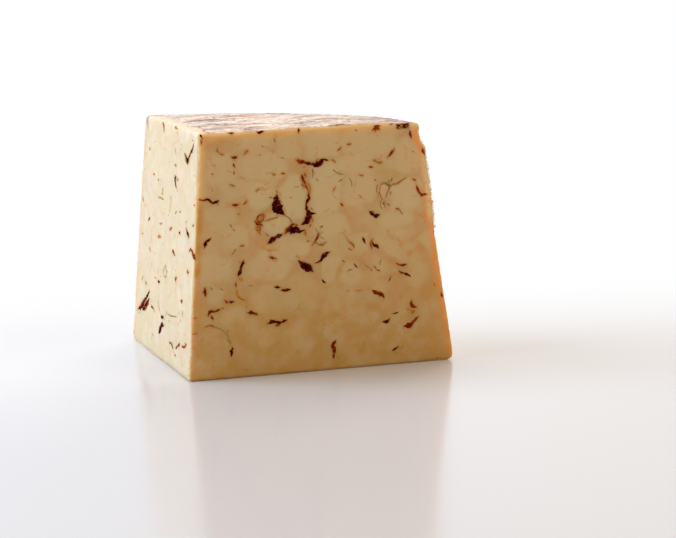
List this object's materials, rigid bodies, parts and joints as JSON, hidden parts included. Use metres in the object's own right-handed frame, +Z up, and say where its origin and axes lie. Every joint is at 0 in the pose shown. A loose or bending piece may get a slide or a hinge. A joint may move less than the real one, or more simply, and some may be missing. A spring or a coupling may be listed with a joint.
{
  "type": "cheddar block",
  "caption": "Upright quarter cut from a small tapered wheel of marbled cheddar, two flat knife cuts and a curved rind, resting flat on its base.",
  "frame": {"origin": "centre of the block's bounding box, on the plane that its base rests on", "axes": "+Z up along the wheel's axis; the knife cuts face -X and -Y and meet at the corner of low X and low Y; the rind wall faces +X and +Y"},
  "size_m": [0.1128, 0.1072, 0.1006],
  "materials": {
    "cheese": "smooth knife-cut pale cheese with soft warm curd boundaries and dark red-brown flakes; mottled pinkish rind on the top and the curved wall"
  },
  "bodies": {
    "root": {"cheese_block": "cheese"}
  },
  "joints": []
}
